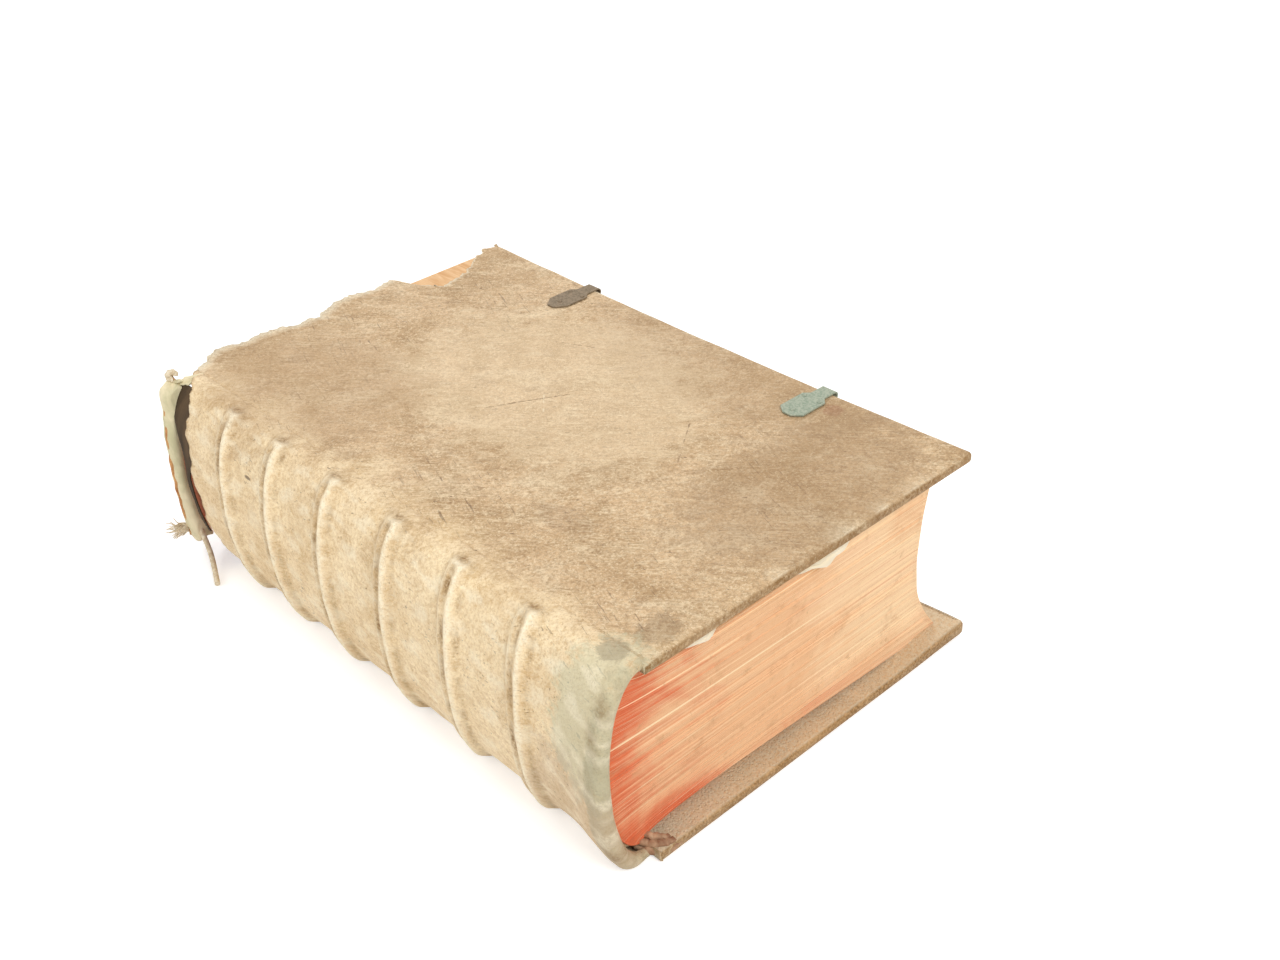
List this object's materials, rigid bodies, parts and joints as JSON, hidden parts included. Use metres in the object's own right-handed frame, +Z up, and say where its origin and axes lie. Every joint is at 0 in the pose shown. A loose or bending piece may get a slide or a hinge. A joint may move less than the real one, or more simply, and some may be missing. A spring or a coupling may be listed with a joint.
{
  "type": "antique leather book",
  "caption": "Large old folio bound in worn leather over wooden boards, with raised bands on a rounded spine, a torn head cap and metal catch plates.",
  "frame": {"origin": "centre of the outer face of the lower cover, on which the closed book lies", "axes": "+X from the spine joint to the fore-edge, +Y from the tail to the head of the book, +Z up through its thickness"},
  "size_m": [0.3134, 0.4712, 0.1388],
  "materials": {
    "wood": "matt, worn",
    "cover_leather": "worn satin",
    "spine_leather": "worn satin",
    "raw_leather": "matt, torn",
    "thong": "matt",
    "pastedown_paper": "matt",
    "pages": "matt, stained edges",
    "lining_paper": "matt",
    "endband_cord": "matt",
    "bronze": "dark, oxidised",
    "verdigris": "green, corroded"
  },
  "bodies": {
    "lower_cover": {"lower_board": "wood", "lower_lacing_pegs": "wood", "lower_cover_leather": "cover_leather", "lower_lacing_slips": "thong", "lower_pastedown": "pastedown_paper"},
    "text_block": {"spine_leather": "spine_leather", "torn_head_cap": "raw_leather", "text_block": "pages", "spine_linings": "lining_paper", "tail_endband_core": "endband_cord", "head_endband_core": "endband_cord", "loose_endband_cord": "endband_cord", "sewing_support_1": "thong", "sewing_support_2": "thong", "sewing_support_3": "thong", "sewing_support_4": "thong", "sewing_support_5": "thong", "sewing_support_6": "thong"},
    "upper_cover": {"upper_board": "wood", "upper_lacing_pegs": "wood", "upper_cover_leather": "cover_leather", "upper_lacing_slips": "thong", "upper_pastedown": "pastedown_paper", "catch_plate_head": "bronze", "catch_rivets_head": "bronze", "catch_plate_tail": "verdigris", "catch_rivets_tail": "verdigris"}
  },
  "joints": [
    {"name": "lower_joint", "type": "hinge", "parent": "lower_cover", "child": "text_block", "pos_m": [-0.1347, 0, 0], "axis": [0, -1, 0], "range_deg": [0, 150]},
    {"name": "upper_joint", "type": "hinge", "parent": "text_block", "child": "upper_cover", "pos_m": [-0.1347, 0, 0.137], "axis": [0, -1, 0], "range_deg": [0, 150]}
  ]
}
